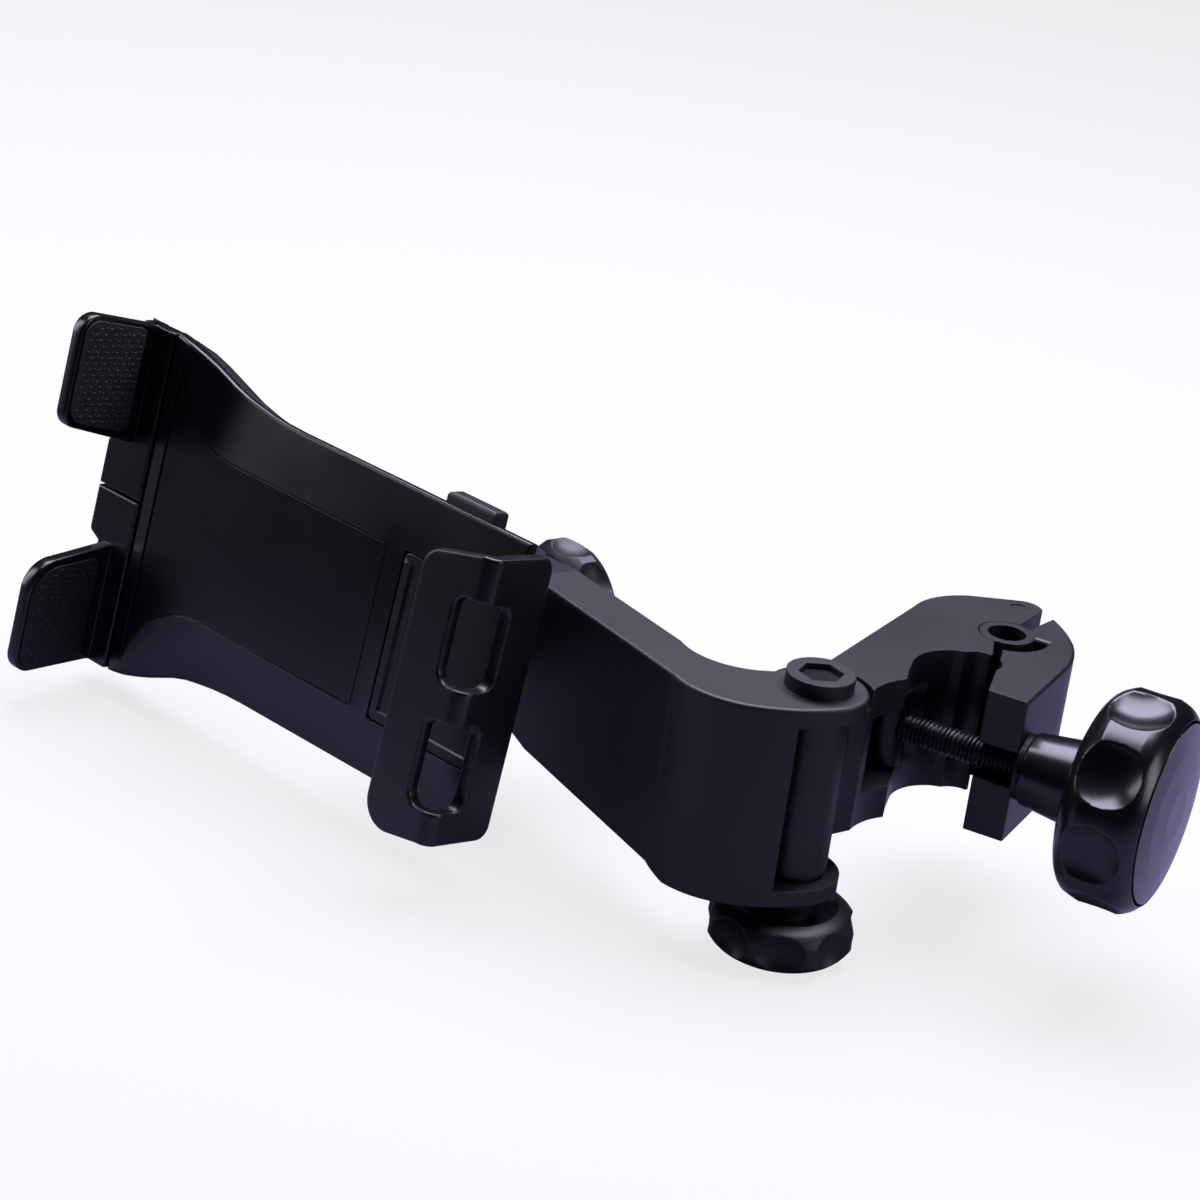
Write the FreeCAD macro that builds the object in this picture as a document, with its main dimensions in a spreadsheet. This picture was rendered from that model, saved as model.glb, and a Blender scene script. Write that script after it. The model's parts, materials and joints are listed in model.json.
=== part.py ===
import FreeCAD, Part
import math
import os
import Sketcher

# Headrest tablet holder: a hook clamp with a hinged jaw and a screw knob grips a headrest post,
# a forked arm swings on the clamp's barrel, and a spring-jaw tablet cradle sits on a ball head
# at the end of the arm. Millimetres, +Z along the post, origin on the post's axis.

doc = FreeCAD.newDocument("tablet_holder")
V3 = FreeCAD.Vector
ROT = FreeCAD.Rotation
PLACE = FreeCAD.Placement
UP = V3(0, 0, 1)

# Named sizes
SIZES = [
    ("hinge_x", -42.8), ("hinge_y", -30.6), ("hinge_z", 20.0),
    ("post_r", 6.0), ("seat_gap", 0.05),
    ("clamp_height", 40.0), ("barrel_r", 9.5), ("barrel_top", 5.5),
    ("lug_clear_r", 14.2), ("face_gap", 0.2), ("bolt_tail", 13.0), ("bolt_r", 3.0), ("running_gap", 0.08),
    ("knuckle_r", 7.5), ("knuckle_bore_r", 5.2), ("socket_gap", 0.3),
    ("rod_z", -19.75), ("rod_r", 4.0), ("rod_tail", 4.0), ("rod_length", 66.0), ("rod_angle", -25.1),
    ("slot_width", 10.5), ("slot_depth", 10.0),
    ("trunnion_r", 6.0), ("trunnion_height", 21.4), ("journal_r", 2.9), ("journal_height", 29.0),
    ("window_top", 9.0), ("window_height", 22.0),
    ("washer_r", 9.0), ("washer_at", 39.4), ("washer_thick", 1.5),
    ("sleeve_at", 41.1), ("sleeve_r", 9.8), ("sleeve_root_r", 11.8), ("knob_at", 56.6),
    ("knob_r", 28.8), ("knob_thick", 22.5), ("knob_scallop_r", 14.0), ("knob_scallop_out", 39.65),
    ("knob_scallops", 9), ("insert_r", 6.5), ("insert_length", 12.0), ("cap_r", 24.2), ("cap_thick", 3.4),
    ("arm_height", 56.0), ("arm_thick", 15.0), ("lug_r", 13.2), ("upper_lug", 5.2), ("lower_lug", 4.4),
    ("boss_r", 9.0), ("boss_height", 4.2), ("head_flats", 10.0), ("head_height", 4.0),
    ("hinge_washer_r", 8.6), ("hinge_washer_thick", 1.0),
    ("star_r", 18.7), ("star_thick", 15.0), ("star_collar_r", 7.6), ("star_collar", 4.0),
    ("star_scallop_r", 9.0), ("star_scallop_out", 24.6), ("star_scallops", 8),
    ("pivot_run", 104.0), ("pivot_drop", 22.0), ("head_r", 19.0), ("ball_r", 10.0),
    ("ball_out", 8.0), ("ball_gap", 0.45),
    ("boss_round_r", 13.5), ("ring_front", 5.0), ("cup_r", 7.0), ("cup_length", 5.5),
    ("cradle_yaw", -40.8), ("cradle_lean", 80.2), ("ball_back", 30.0),
    ("cover_thick", 4.5), ("panel_depth", 0.5), ("shell_back", 13.0), ("shell_taper", -24.0),
    ("foot_half", 24.0), ("foot_start", 1.5), ("cover_end", 41.5),
    ("jaw_half", 41.0), ("jaw_wall_in", 42.6), ("jaw_wall", 4.0), ("lip_front", 16.0), ("lip_thick", 3.5),
    ("tongue_half", 22.0), ("tongue_start", -62.0),
    ("claw_tip", 27.2), ("claw_face", -109.5), ("claw_thick", 4.2), ("claw_end", -120.2),
    ("pad_thick", 1.5), ("flange_r", 13.0), ("flange_thick", 2.5), ("neck_r", 5.5),
    ("swivel_r", 18.0), ("swivel_thick", 5.0),
    ("button_length", 17.5), ("button_start", 9.2), ("button_out", 3.2), ("button_width", 5.4),
]
dims = doc.addObject("Spreadsheet::Sheet", "dims")
S = {}
for row, (alias, value) in enumerate(SIZES, start=1):
    dims.set("A%d" % row, alias)
    dims.set("B%d" % row, str(value))
    dims.setAlias("B%d" % row, alias)
    S[alias] = value
doc.recompute()


def vec(x, y, z=0.0):
    """A point in millimetres."""
    return V3(x, y, z)


def toward(base, axis):
    """A placement at base whose local Z points along axis."""
    return PLACE(base, ROT(UP, axis))


def new_body(label, placement):
    """One sub-part with its own label and placement."""
    body = doc.addObject("PartDesign::Body", label)
    body.Label = label
    body.Placement = placement
    return body


def plane_of(body, role):
    """The body's own origin plane."""
    for feature in body.Origin.OriginFeatures:
        if feature.Role == role:
            return feature
    return None


def primitive(body, kind, placement, **sizes):
    """An additive or subtractive primitive with its sizes bound to the sheet."""
    feature = body.newObject("PartDesign::" + kind, kind)
    feature.Placement = placement
    for name, size in sizes.items():
        feature.setExpression(name, str(size))
    doc.recompute()
    return feature


def tie_ends(sketch):
    """Ties each line or arc of a closed run to the next, whichever way an arc is stored."""
    count = sketch.GeometryCount
    for index in range(count):
        after = (index + 1) % count
        pairs = [(a, b) for a in (1, 2) for b in (1, 2)]
        gaps = [(sketch.getPoint(index, a) - sketch.getPoint(after, b)).Length for a, b in pairs]
        here, there = pairs[gaps.index(min(gaps))]
        sketch.addConstraint(Sketcher.Constraint("Coincident", index, here, after, there))


def sketch_on(body, role, path, lift=0.0, close=True):
    """A closed profile of straight runs (x, y) and arcs ((mid), (end)) on an origin plane."""
    sketch = body.newObject("Sketcher::SketchObject", "Profile")
    sketch.AttachmentSupport = [(plane_of(body, role), "")]
    sketch.MapMode = "FlatFace"
    sketch.AttachmentOffset = PLACE(V3(0, 0, lift), ROT())
    first = V3(path[0][0], path[0][1], 0)
    here = first
    for step in path[1:]:
        if isinstance(step[0], tuple):
            middle = V3(step[0][0], step[0][1], 0)
            there = V3(step[1][0], step[1][1], 0)
            sketch.addGeometry(Part.Arc(here, middle, there), False)
        else:
            there = V3(step[0], step[1], 0)
            sketch.addGeometry(Part.LineSegment(here, there), False)
        here = there
    if close and (here - first).Length > 1e-6:
        sketch.addGeometry(Part.LineSegment(here, first), False)
    tie_ends(sketch)
    doc.recompute()
    return sketch


def grow(body, kind, sketch, length, reverse=False, taper=None):
    """A pad or pocket of a profile with its length bound to the sheet."""
    feature = body.newObject("PartDesign::" + kind, kind)
    feature.Profile = sketch
    feature.setExpression("Length", length)
    feature.Reversed = reverse
    if taper:
        feature.setExpression("TaperAngle", taper)
    sketch.Visibility = False
    doc.recompute()
    return feature


def spin(body, kind, sketch, axis):
    """A revolved profile about a sketch axis."""
    feature = body.newObject("PartDesign::" + kind, kind)
    feature.Profile = sketch
    feature.ReferenceAxis = (sketch, [axis])
    feature.Angle = 360.0
    sketch.Visibility = False
    doc.recompute()
    return feature


def ring_of(body, feature, role, count):
    """A polar pattern of one feature about the body's own axis."""
    pattern = body.newObject("PartDesign::PolarPattern", "PolarPattern")
    pattern.Originals = [feature]
    axis = [f for f in body.Origin.OriginFeatures if f.Role == role][0]
    pattern.Axis = (axis, [""])
    pattern.Angle = 360.0
    pattern.setExpression("Occurrences", count)
    body.Tip = pattern
    doc.recompute()
    return pattern


def round_edges(body, radius, chosen):
    """Rounds the edges of the tip that the rule chooses."""
    tip = body.Tip
    names = ["Edge%d" % (i + 1) for i, edge in enumerate(tip.Shape.Edges) if chosen(edge)]
    fillet = body.newObject("PartDesign::Fillet", "Fillet")
    fillet.Base = (tip, names)
    fillet.Radius = radius
    doc.recompute()
    return fillet


def level_edges(z):
    """A rule that picks edges lying flat at a height."""
    return lambda edge: all(abs(v.Z - z) < 1e-4 for v in edge.Vertexes) and abs(edge.BoundBox.ZLength) < 1e-4


# Frames: the hinge axis, the rod's line, the ball head and the cradle's own plane
HINGE = vec(S["hinge_x"], S["hinge_y"], S["hinge_z"])
HINGE_PLACE = PLACE(HINGE, ROT())
ROD_ANGLE = math.radians(S["rod_angle"])
ROD_AXIS = vec(math.cos(ROD_ANGLE), math.sin(ROD_ANGLE))
TRUNNION = vec(21.0, 28.6)
KNUCKLE = vec(51.5, 52.3)
POST = vec(-S["hinge_x"], -S["hinge_y"])
RUN = vec(0.6107, -0.7919)
REAR = vec(0.7919, 0.6107)
BALL = RUN * -S["pivot_run"] + REAR * (-32.0 - S["ball_out"]) + vec(0, 0, -S["pivot_drop"])
CRADLE_TURN = ROT(UP, S["cradle_yaw"]).multiply(ROT(V3(1, 0, 0), S["cradle_lean"]))
CRADLE_OUT = CRADLE_TURN.multVec(UP)
CRADLE_PLACE = PLACE(HINGE + BALL + CRADLE_OUT * S["ball_back"], CRADLE_TURN)
ROD_PLACE = PLACE(HINGE + TRUNNION + vec(0, 0, S["rod_z"]), ROT(V3(1, 0, 0), ROD_AXIS))
HEAD_PLACE = PLACE(HINGE + BALL, ROT(UP, REAR))
parts = []


def around(centre, radius, degrees):
    """A plan point on a circle."""
    turn = math.radians(degrees)
    return (centre.x + radius * math.cos(turn), centre.y + radius * math.sin(turn))


def drill(body, spots, place, radius, depth):
    """Clearance holes for a set of screws, entered from local minus Z."""
    for x, y, z in spots:
        start = place.multiply(PLACE(vec(x, y, z - 0.2), ROT()))
        primitive(body, "SubtractiveCylinder", start, Radius=str(radius), Height=str(depth))


SWIVEL_FACE = -S["shell_back"] - S["swivel_thick"]
SWIVEL_SPOTS = [around(vec(0, 0), 15.7, 45 + 90 * i) + (SWIVEL_FACE,) for i in range(4)]
SHELL_SPOTS = [(x, y, -S["shell_back"]) for x in (-80.0, -26.0) for y in (31.0, -31.0)]
RING_SPOTS = [around(vec(0, 0), 12.0, 30 + 120 * i) + (-S["ring_front"],) for i in range(3)]

# Clamp body: hook, window for the swing bolt, knuckle socket and hinge barrel in one moulding
clamp = new_body("clamp_body", HINGE_PLACE)
socket_r = S["knuckle_r"] + S["socket_gap"]

hook = [
    (-4.5, 8.3), (3.6, 18.8), (27.0, 62.8), ((33.5, 71.2), (43.0, 75.3)), (56.0, 76.4),
    ((60.6, 75.2), around(KNUCKLE, 22.0, 60)), around(KNUCKLE, socket_r, 60),
    (around(KNUCKLE, socket_r, 150), around(KNUCKLE, socket_r, 240)),
    (46.7, 36.4), (45.9, 35.6), (36.5, 35.6), ((28.6, 31.4), (24.8, 23.5)), (23.8, 18.6), (23.0, 12.6),
    ((17.6, 8.2), (14.0, 2.2)), (9.3, -1.5),
]
grow(clamp, "Pad", sketch_on(clamp, "XY_Plane", hook), "dims.clamp_height", reverse=True)
primitive(clamp, "SubtractiveCylinder", PLACE(vec(0, 0, -S["barrel_top"]), ROT()),
          Radius="dims.lug_clear_r", Height="dims.barrel_top + 1")
barrel_end = S["arm_height"] - S["lower_lug"] - S["hinge_washer_thick"] - S["face_gap"]
primitive(clamp, "AdditiveCylinder", PLACE(vec(0, 0, -barrel_end), ROT()), Radius="dims.barrel_r",
          Height="dims.arm_height - dims.lower_lug - dims.hinge_washer_thick"
                 " - dims.face_gap - dims.barrel_top")
window = [
    (12.4, 9.0), (9.2, 16.8), (14.6, 30.9), around(TRUNNION, 6.4, 150),
    (around(TRUNNION, 6.4, 95), around(TRUNNION, 6.4, 40)), (32.0, 33.5), (32.0, 8.0), (18.0, 2.0),
]
grow(clamp, "Pocket", sketch_on(clamp, "XY_Plane", window, lift=-S["window_top"]), "dims.window_height")
primitive(clamp, "SubtractiveCylinder", PLACE(TRUNNION + vec(0, 0, -S["window_top"] - 26.0), ROT()),
          Radius="dims.journal_r + dims.running_gap", Height="30.0")
primitive(clamp, "SubtractiveCylinder", PLACE(vec(0, 0, -S["arm_height"]), ROT()),
          Radius="dims.bolt_r + dims.running_gap", Height="dims.arm_height + 5")
primitive(clamp, "SubtractiveCylinder", PLACE(POST + vec(0, 0, -S["clamp_height"] - 1), ROT()),
          Radius="dims.post_r + dims.seat_gap", Height="dims.clamp_height + 2")
primitive(clamp, "SubtractiveCylinder", PLACE(vec(56.0, 71.6, -0.4), ROT()), Radius="2.3", Height="1.0")
parts.append(clamp)

# Clamp jaw: swinging block with a hollow knuckle at one end and a fork for the rod at the other
jaw = new_body("clamp_jaw", HINGE_PLACE)
near_left = vec(50.0, 15.0) + vec(-ROD_AXIS.y, ROD_AXIS.x) * -5.0 - ROD_AXIS * 4.2
near_right = near_left + ROD_AXIS * 11.0
block = [
    (near_left.x, near_left.y), (48.7, 34.5), (49.6, 40.6), around(KNUCKLE, 11.2, 262),
    (around(KNUCKLE, 11.2, 305), around(KNUCKLE, 11.2, 345)), around(KNUCKLE, 7.0, 350),
    around(KNUCKLE, 7.0, 38), around(KNUCKLE, 20.6, 48), ((67.6, 61.5), (69.6, 51.5)),
    ((69.2, 44.0), (65.6, 32.6)), (near_right.x + 0.9, near_right.y + 1.8), (near_right.x, near_right.y),
]
grow(jaw, "Pad", sketch_on(jaw, "XY_Plane", block), "dims.clamp_height", reverse=True)
round_edges(jaw, 1.2, lambda e: level_edges(0)(e) and e.BoundBox.Center.x > 55)
primitive(jaw, "AdditiveCylinder", PLACE(KNUCKLE + vec(0, 0, -S["clamp_height"]), ROT()),
          Radius="dims.knuckle_r", Height="dims.clamp_height")
primitive(jaw, "SubtractiveCylinder", PLACE(KNUCKLE + vec(0, 0, -S["clamp_height"] - 1), ROT()),
          Radius="dims.knuckle_bore_r", Height="dims.clamp_height + 2")
slot_place = PLACE(near_left + vec(0, 0, S["rod_z"] - S["slot_width"] / 2), ROT(V3(1, 0, 0), ROD_AXIS))
slot_place.Base = slot_place.multVec(vec(-12.0, -6.0))
primitive(jaw, "SubtractiveBox", slot_place,
          Length="40.0", Width="dims.slot_depth + 6", Height="dims.slot_width")
primitive(jaw, "SubtractiveCylinder", PLACE(POST + vec(0, 0, -S["clamp_height"] - 1), ROT()),
          Radius="dims.post_r + dims.seat_gap", Height="dims.clamp_height + 2")
parts.append(jaw)

# Trunnion: upright steel barrel that turns in the clamp's flanges and carries the rod
trunnion = new_body("trunnion", PLACE(HINGE + TRUNNION + vec(0, 0, S["rod_z"]), ROT()))
primitive(trunnion, "AdditiveCylinder", PLACE(vec(0, 0, -S["trunnion_height"] / 2), ROT()),
          Radius="dims.trunnion_r", Height="dims.trunnion_height")
primitive(trunnion, "AdditiveCylinder", PLACE(vec(0, 0, -S["journal_height"] / 2), ROT()),
          Radius="dims.journal_r", Height="dims.journal_height")
primitive(trunnion, "SubtractiveCylinder", toward(ROD_AXIS * -S["rod_tail"], ROD_AXIS),
          Radius="dims.rod_r + 0.02", Height="20.0")
parts.append(trunnion)

# Clamp rod: threaded steel stud fixed in the trunnion
rod = new_body("clamp_rod", ROD_PLACE)
primitive(rod, "AdditiveCylinder", toward(vec(-S["rod_tail"] + 0.02, 0), V3(1, 0, 0)),
          Radius="dims.rod_r", Height="dims.rod_length")
parts.append(rod)

# Thrust washer: steel ring between the jaw and the knob's sleeve
washer = new_body("thrust_washer", ROD_PLACE)
primitive(washer, "AdditiveCylinder", toward(vec(S["washer_at"], 0), V3(1, 0, 0)),
          Radius="dims.washer_r", Height="dims.washer_thick")
primitive(washer, "SubtractiveCylinder", toward(vec(S["washer_at"] - 1, 0), V3(1, 0, 0)),
          Radius="dims.rod_r + dims.running_gap", Height="dims.washer_thick + 2")
parts.append(washer)

# Clamp knob: long sleeve and large dished handwheel in one moulding
knob = new_body("clamp_knob", ROD_PLACE)
knob_end = S["knob_at"] + S["knob_thick"]
wheel = [
    (S["sleeve_at"], 4.6), (S["sleeve_at"], S["sleeve_r"]), (S["knob_at"], S["sleeve_root_r"]),
    (S["knob_at"], 21.5), (S["knob_at"] + 2.2, 26.2), (S["knob_at"] + 6.5, S["knob_r"]),
    (knob_end - 5.5, S["knob_r"]), (knob_end - 1.6, 27.2), (knob_end, 24.9),
    (knob_end - 3.0, 24.9), (knob_end - 3.0, 4.6),
]
spin(knob, "Revolution", sketch_on(knob, "XY_Plane", wheel), "H_Axis")
dish_turn = math.radians(-9.5)
dish_out = S["knob_scallop_out"]
dish_at = vec(S["knob_at"] + 3.2, dish_out * math.sin(dish_turn), dish_out * math.cos(dish_turn))
dish = primitive(knob, "SubtractiveCylinder", toward(dish_at, V3(1, 0, 0)),
                 Radius="dims.knob_scallop_r", Height="16.6")
ring_of(knob, dish, "X_Axis", "dims.knob_scallops")
primitive(knob, "SubtractiveCylinder", toward(vec(S["sleeve_at"] + 1.0, 0), V3(1, 0, 0)),
          Radius="dims.insert_r", Height="dims.insert_length")
parts.append(knob)

# Knob insert: brass nut moulded into the sleeve
insert = new_body("knob_insert", ROD_PLACE)
primitive(insert, "AdditiveCylinder", toward(vec(S["sleeve_at"] + 1.0, 0), V3(1, 0, 0)),
          Radius="dims.insert_r", Height="dims.insert_length")
primitive(insert, "SubtractiveCylinder", toward(vec(S["sleeve_at"], 0), V3(1, 0, 0)),
          Radius="dims.rod_r + dims.running_gap", Height="dims.insert_length + 2")
parts.append(insert)

# Knob cap: shallow domed disc pressed into the handwheel's face
cap = new_body("knob_cap", ROD_PLACE)
dome = [
    (knob_end - 2.9, 0), (knob_end - 2.9, S["cap_r"]), (knob_end + 0.3, S["cap_r"]),
    (knob_end + 1.4, S["cap_r"] * 0.7), (knob_end + 2.1, S["cap_r"] * 0.3), (knob_end + 2.1, 0),
]
spin(cap, "Revolution", sketch_on(cap, "XY_Plane", dome), "H_Axis")
parts.append(cap)


def along_arm(run, offset):
    """A plan point by distance along the arm's straight run and offset to its rear."""
    point = RUN * run + REAR * offset
    return (point.x, point.y)


# Arm: bent bar with a bolt boss and a fork at the hinge end and a ball seat at the other
arm = new_body("arm", HINGE_PLACE)
front = -32.0
back = front + S["arm_thick"]
end_run = -S["pivot_run"] - S["head_r"]
plan = [
    around(vec(0, 0), S["lug_r"], -66), ((-9.0, -16.6), (-18.5, -16.8)),
    ((-28.6, -13.2), along_arm(-20.0, front)),
    along_arm(end_run, front), along_arm(end_run, back), along_arm(-36.0, back),
    ((-24.5, 7.4), (-15.5, 6.2)), (-11.6, 6.9),
    (around(vec(0, 0), S["lug_r"], 60), around(vec(0, 0), S["lug_r"], -66)),
]
grow(arm, "Pad", sketch_on(arm, "XY_Plane", plan), "dims.arm_height", reverse=True)
under = arm.newObject("Sketcher::SketchObject", "Underside")
under.Placement = PLACE(REAR * 40.0, ROT(RUN, UP, REAR * -1, "ZXY"))
deep = -S["arm_height"]
side = [
    (-12.0, deep - 4.0), (-12.0, deep), (-20.0, deep + 3.0), (-78.0, -41.0), (-104.0, -41.0),
    (-117.4, -35.4), (-123.0, -22.0), (-117.4, -8.6), (-104.0, -3.0), (-84.0, 0.0), (-84.0, 4.0),
    (-140.0, 4.0), (-140.0, deep - 4.0),
]
for index in range(len(side)):
    here = side[index]
    there = side[(index + 1) % len(side)]
    under.addGeometry(Part.LineSegment(V3(here[0], here[1], 0), V3(there[0], there[1], 0)), False)
doc.recompute()
under.Visibility = False
taper = arm.newObject("PartDesign::Pocket", "Taper")
taper.Profile = under
taper.Type = "ThroughAll"
taper.Midplane = True
doc.recompute()
round_edges(arm, 1.0, lambda e: level_edges(0)(e))
primitive(arm, "AdditiveCylinder", PLACE(vec(0, 0, -1.0), ROT()),
          Radius="dims.boss_r", Height="dims.boss_height + 1")
primitive(arm, "SubtractiveCylinder", PLACE(vec(0, 0, -S["arm_height"] + S["lower_lug"]), ROT()),
          Radius="dims.barrel_r + 0.5", Height="dims.arm_height - dims.lower_lug - dims.upper_lug")
mouth = [
    (-2.2, -20.0), (-6.4, -12.0), (-7.4, 7.4), (-9.5, 14.0), (0.0, 22.0), (24.0, 18.0), (24.0, -20.0),
]
grow(arm, "Pocket", sketch_on(arm, "XY_Plane", mouth, lift=-S["upper_lug"]),
     "dims.arm_height - dims.lower_lug - dims.upper_lug")
primitive(arm, "SubtractiveCylinder", PLACE(vec(0, 0, -S["arm_height"] - 1), ROT()),
          Radius="dims.bolt_r + 0.05", Height="dims.arm_height + dims.boss_height + 2")
primitive(arm, "SubtractivePrism", PLACE(vec(0, 0, S["boss_height"] - 5.5), ROT(UP, 8.0)),
          Polygon="6", Circumradius="(dims.head_flats / 2 + 0.2) / cos(30 deg)", Height="6.0")
primitive(arm, "AdditiveCylinder", toward(BALL, REAR), Radius="dims.boss_round_r", Height="dims.ball_out + 1")
primitive(arm, "SubtractiveCylinder", toward(BALL - REAR, REAR),
          Radius="dims.ball_r + dims.ball_gap", Height="11.5")
primitive(arm, "SubtractiveCylinder", toward(BALL + REAR * 5.0, REAR),
          Radius="dims.cup_r + 0.1", Height="10.5")
primitive(arm, "SubtractiveCylinder", toward(BALL + REAR * 10.0, REAR),
          Radius="dims.bolt_r + dims.running_gap", Height="30.0")
drill(arm, RING_SPOTS, PLACE(BALL, ROT(UP, REAR)), 0.75, 8.5)
parts.append(arm)

# Hinge bolt: hexagon head held in the arm's boss, shank down through fork and barrel
bolt = new_body("hinge_bolt", HINGE_PLACE)
primitive(bolt, "AdditivePrism", PLACE(vec(0, 0, S["boss_height"] - 5.5), ROT(UP, 8.0)),
          Polygon="6", Circumradius="dims.head_flats / 2 / cos(30 deg)", Height="dims.head_height")
primitive(bolt, "AdditiveCylinder", PLACE(vec(0, 0, -S["arm_height"] - S["bolt_tail"]), ROT()),
          Radius="dims.bolt_r", Height="dims.arm_height + dims.bolt_tail + 1")
parts.append(bolt)

# Hinge washer: thin ring between the barrel and the lower lug
ring = new_body("hinge_washer", HINGE_PLACE)
ring_z = -S["arm_height"] + S["lower_lug"]
primitive(ring, "AdditiveCylinder", PLACE(vec(0, 0, ring_z), ROT()),
          Radius="dims.hinge_washer_r", Height="dims.hinge_washer_thick")
primitive(ring, "SubtractiveCylinder", PLACE(vec(0, 0, ring_z - 1), ROT()),
          Radius="dims.bolt_r + dims.running_gap", Height="dims.hinge_washer_thick + 2")
parts.append(ring)


def star_knob(label, placement, screw):
    """A scalloped knob with its collar at local zero and its body along local Z."""
    star = new_body(label, placement)
    bottom = S["star_collar"] + S["star_thick"]
    profile = [
        (0, 0), (S["star_collar_r"], 0), (S["star_collar_r"] - 0.5, S["star_collar"]),
        (14.5, S["star_collar"]),
        (17.4, S["star_collar"] + 1.6), (S["star_r"], S["star_collar"] + 4.6), (S["star_r"], bottom - 5.0),
        (17.4, bottom - 1.6), (13.5, bottom), (0, bottom),
    ]
    spin(star, "Revolution", sketch_on(star, "XZ_Plane", profile), "V_Axis")
    scallop_place = PLACE(vec(S["star_scallop_out"], 0, S["star_collar"] + 2.4), ROT())
    scallop = primitive(star, "SubtractiveCylinder", scallop_place,
                        Radius="dims.star_scallop_r", Height="10.0")
    ring_of(star, scallop, "Z_Axis", "dims.star_scallops")
    primitive(star, "SubtractiveCylinder", PLACE(vec(0, 0, -1.0), ROT()), Radius=screw, Height="14.0")
    parts.append(star)
    return star


# Hinge knob and its brass nut
hinge_under = HINGE + vec(0, 0, -S["arm_height"] - 0.2)
star_knob("hinge_knob", PLACE(hinge_under, ROT(V3(1, 0, 0), 180.0)), "5.0")
nut = new_body("hinge_knob_insert", PLACE(hinge_under, ROT(V3(1, 0, 0), 180.0)))
primitive(nut, "AdditiveCylinder", PLACE(vec(0, 0, 0.2), ROT()), Radius="5.0", Height="12.8")
primitive(nut, "SubtractiveCylinder", PLACE(vec(0, 0, -1.0), ROT()),
          Radius="dims.bolt_r + dims.running_gap", Height="16.0")
parts.append(nut)

# Rear knob and its screw, which presses the cup onto the ball
rear_at = HINGE + BALL + REAR * (S["ball_out"] + S["arm_thick"] + 0.3)
star_knob("rear_knob", PLACE(rear_at, ROT(UP, REAR)), "dims.bolt_r")
screw = new_body("rear_screw", PLACE(rear_at, ROT(UP, REAR)))
primitive(screw, "AdditiveCylinder", PLACE(vec(0, 0, -7.6), ROT()), Radius="dims.bolt_r", Height="20.6")
parts.append(screw)

# Pressure cup: slides in the arm behind the ball
cup = new_body("pressure_cup", HEAD_PLACE)
primitive(cup, "AdditiveCylinder", PLACE(vec(0, 0, 9.6), ROT()),
          Radius="dims.cup_r", Height="dims.cup_length")
primitive(cup, "SubtractiveSphere", PLACE(vec(0, 0, 0), ROT()), Radius="dims.ball_r + dims.ball_gap")
parts.append(cup)

# Socket ring: front half of the ball seat, screwed to the arm's round boss
seat = new_body("socket_ring", HEAD_PLACE)
primitive(seat, "AdditiveCylinder", PLACE(vec(0, 0, -S["ring_front"]), ROT()),
          Radius="dims.boss_round_r", Height="dims.ring_front")
primitive(seat, "SubtractiveSphere", PLACE(vec(0, 0, 0), ROT()), Radius="dims.ball_r + dims.ball_gap")
drill(seat, RING_SPOTS, PLACE(), 0.75, 8.5)
parts.append(seat)

# Ball stud: steel ball, neck and flange that the cradle turns on
stud = new_body("ball_stud", CRADLE_PLACE)
flange_front = -S["shell_back"] - 0.3
primitive(stud, "AdditiveSphere", PLACE(vec(0, 0, -S["ball_back"]), ROT()), Radius="dims.ball_r")
primitive(stud, "AdditiveCylinder", PLACE(vec(0, 0, -S["ball_back"] + 5.0), ROT()),
          Radius="dims.neck_r", Height="dims.ball_back - 5 - dims.shell_back - 1")
primitive(stud, "AdditiveCylinder", PLACE(vec(0, 0, flange_front - S["flange_thick"]), ROT()),
          Radius="dims.flange_r", Height="dims.flange_thick")
parts.append(stud)

# Swivel ring: holds the stud's flange to the back of the cradle
swivel = new_body("swivel_ring", CRADLE_PLACE)
primitive(swivel, "AdditiveCylinder", PLACE(vec(0, 0, -S["shell_back"] - S["swivel_thick"]), ROT()),
          Radius="dims.swivel_r", Height="dims.swivel_thick")
primitive(swivel, "SubtractiveCylinder", PLACE(vec(0, 0, flange_front - S["flange_thick"] - 0.3), ROT()),
          Radius="dims.flange_r + 0.3", Height="6.0")
primitive(swivel, "SubtractiveCylinder", PLACE(vec(0, 0, -S["shell_back"] - S["swivel_thick"] - 1), ROT()),
          Radius="dims.neck_r + 3.5", Height="8.0")
drill(swivel, SWIVEL_SPOTS, PLACE(), 0.95, 8.0)
parts.append(swivel)


def waisted(start, end):
    """The front cover's waisted outline, wide at the claw end."""
    wide, slim, mid = 50.9, 39.9, 45.4
    upper = [(start, wide), (-99.0, wide - 0.4), ((-90.0, wide - 2.4), (-81.0, mid)),
             ((-66.0, slim + 1.5), (-48.0, slim)), (end, slim)]
    lower = [(end, -slim), (-48.0, -slim), ((-66.0, -slim - 1.5), (-81.0, -mid)),
             ((-90.0, 2.4 - wide), (-99.0, 0.4 - wide)), (start, -wide)]
    return upper + lower


def tray(inset, start, end):
    """The back shell's outline in straight runs, so that its sides can slope."""
    side = [(start, 50.9), (-97.0, 50.2), (-90.0, 48.4), (-81.0, 45.4), (-73.5, 43.0), (-66.0, 41.4),
            (-57.0, 40.2), (-48.0, 39.9), (end, 39.9)]
    upper = [(x, y - inset) for x, y in side]
    return upper + [(x, -y) for x, y in reversed(upper)]


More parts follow.
